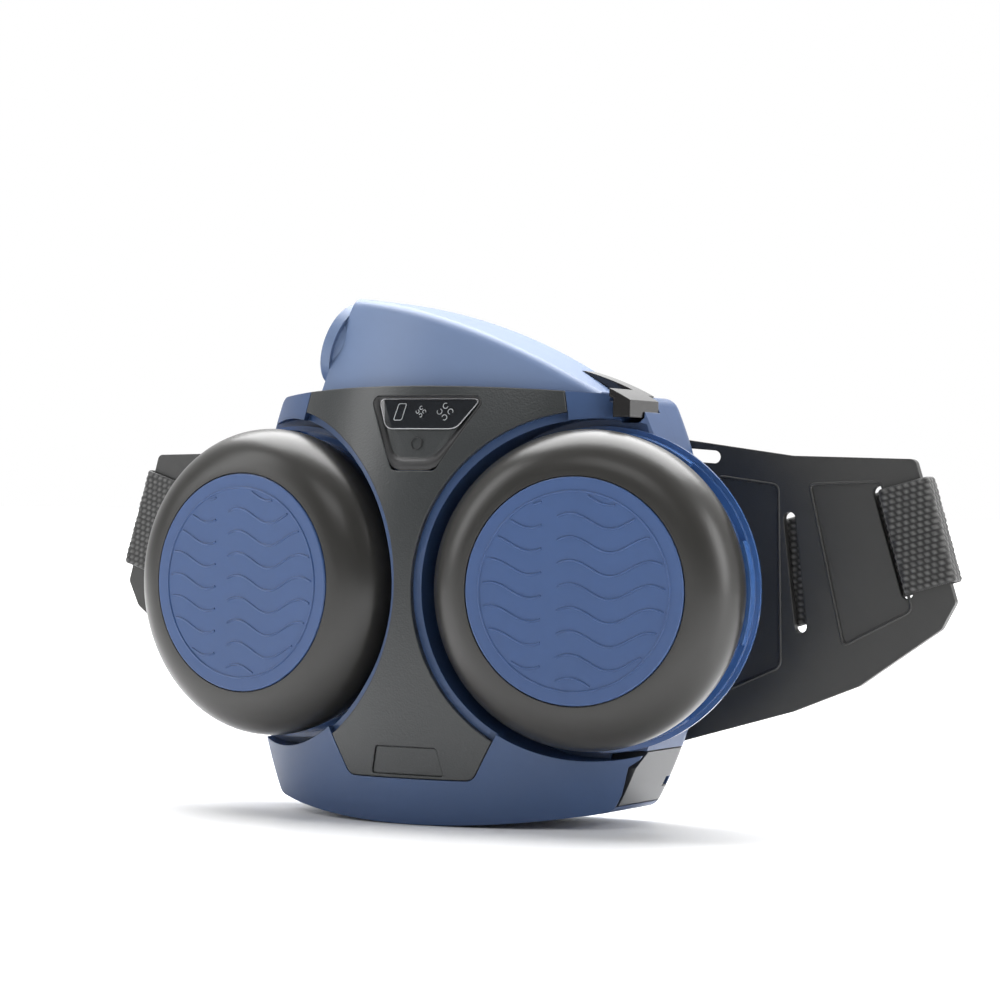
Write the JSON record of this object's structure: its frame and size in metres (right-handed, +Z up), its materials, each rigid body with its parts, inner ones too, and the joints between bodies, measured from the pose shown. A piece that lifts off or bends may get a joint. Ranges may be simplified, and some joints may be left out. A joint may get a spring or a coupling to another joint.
{
  "type": "powered air respirator fan unit",
  "caption": "Belt-worn powered air respirator fan unit with screw-in side filters, slide-out battery, hose outlet neck and curved belt plate.",
  "frame": {"origin": "centre of the belt plate's flat rear face, level with the filters", "axes": "+X across the unit towards the battery cap, +Y towards the wearer, +Z up"},
  "size_m": [0.3466, 0.0984, 0.1869],
  "materials": {
    "housing_blue": "fine moulded texture",
    "neck_blue": "fine moulded texture",
    "cover_grey": "leather-grain moulded texture",
    "smoked_window": "polished, smoked",
    "adapter_blue": "glossy moulded",
    "disc_blue": "satin with raised wavy lines",
    "lid_black": "satin",
    "part_black": "satin",
    "control_black": "glossy",
    "battery_black": "satin",
    "belt_black": "fine moulded texture",
    "webbing_black": "coarse plain weave",
    "seal_rubber": "matt",
    "filter_fleece": "felted",
    "steel": "plain",
    "aluminium": "turned",
    "copper_winding": "enamelled wire",
    "brass": "plated",
    "board_green": "solder mask",
    "clear_guide": "clear",
    "fan_grey": "moulded",
    "cell_wrap": "shrink wrap"
  },
  "bodies": {
    "root": {"front_housing": "housing_blue", "rear_housing": "housing_blue", "housing_seal": "seal_rubber", "front_cover": "cover_grey", "display_window": "smoked_window", "badge_insert": "cover_grey", "outlet_neck": "neck_blue", "hose_socket": "neck_blue", "socket_seal": "seal_rubber", "control_board": "board_green", "buzzer": "part_black", "light_guides": "clear_guide", "fan_scroll": "fan_grey", "duct_gasket": "seal_rubber", "stator": "copper_winding", "motor_base": "aluminium", "bearings": "steel", "battery_contacts": "brass", "belt_plate": "belt_black", "housing_screws": "steel", "belt_screws": "steel", "board_screws": "steel", "right_webbing": "webbing_black", "left_webbing": "webbing_black"},
    "control": {"control_button": "control_black"},
    "rotor": {"impeller": "fan_grey", "fan_shaft": "steel", "rotor_bell": "steel", "magnet_ring": "steel"},
    "battery": {"battery_case": "part_black", "battery_cells": "cell_wrap", "battery_terminals": "brass", "battery_cap": "battery_black"},
    "latch": {"battery_latch": "housing_blue"},
    "right_carriage": {"right_filter_seal": "seal_rubber"},
    "right_filter": {"right_filter_adapter": "adapter_blue", "right_filter_canister": "part_black", "right_filter_media": "filter_fleece", "right_filter_grille": "part_black"},
    "right_lid": {"right_filter_lid": "lid_black", "right_lid_disc": "disc_blue", "right_prefilter": "filter_fleece"},
    "left_carriage": {"left_filter_seal": "seal_rubber"},
    "left_filter": {"left_filter_adapter": "adapter_blue", "left_filter_canister": "part_black", "left_filter_media": "filter_fleece", "left_filter_grille": "part_black"},
    "left_lid": {"left_filter_lid": "lid_black", "left_lid_disc": "disc_blue", "left_prefilter": "filter_fleece"}
  },
  "joints": [
    {"name": "control_press", "type": "slide", "parent": "root", "child": "control", "axis": [-0.6, 0, -0.8], "range_m": [0, 0.0012], "stiffness_N_per_m": 300, "springref_m": -0.002},
    {"name": "impeller_spin", "type": "hinge", "parent": "root", "child": "rotor", "pos_m": [0, -0.03, 0], "axis": [0, -1, 0], "continuous": true},
    {"name": "battery_slide", "type": "slide", "parent": "root", "child": "battery", "axis": [1, 0, 0], "range_m": [0, 0.14]},
    {"name": "latch_press", "type": "slide", "parent": "battery", "child": "latch", "axis": [0, -1, 0], "range_m": [0, 0.0025], "stiffness_N_per_m": 200, "springref_m": -0.002},
    {"name": "right_filter_advance", "type": "slide", "parent": "root", "child": "right_carriage", "axis": [0.1444, -0.9895, 0], "range_m": [0, 0.01001]},
    {"name": "right_filter_turn", "type": "hinge", "parent": "right_carriage", "child": "right_filter", "pos_m": [0.06655, -0.08, 0], "axis": [0.1444, -0.9895, 0], "range_deg": [0, 900]},
    {"name": "right_lid_pull", "type": "slide", "parent": "right_filter", "child": "right_lid", "axis": [0.1444, -0.9895, 0], "range_m": [0, 0.025]},
    {"name": "left_filter_advance", "type": "slide", "parent": "root", "child": "left_carriage", "axis": [-0.1444, -0.9895, 0], "range_m": [0, 0.01001]},
    {"name": "left_filter_turn", "type": "hinge", "parent": "left_carriage", "child": "left_filter", "pos_m": [-0.06655, -0.08, 0], "axis": [-0.1444, -0.9895, 0], "range_deg": [0, 900]},
    {"name": "left_lid_pull", "type": "slide", "parent": "left_filter", "child": "left_lid", "axis": [-0.1444, -0.9895, 0], "range_m": [0, 0.025]}
  ],
  "couplings": [
    {"joint": "right_filter_advance", "follows": "right_filter_turn", "m_per_rad": 0.00063662},
    {"joint": "left_filter_advance", "follows": "left_filter_turn", "m_per_rad": 0.00063662}
  ]
}
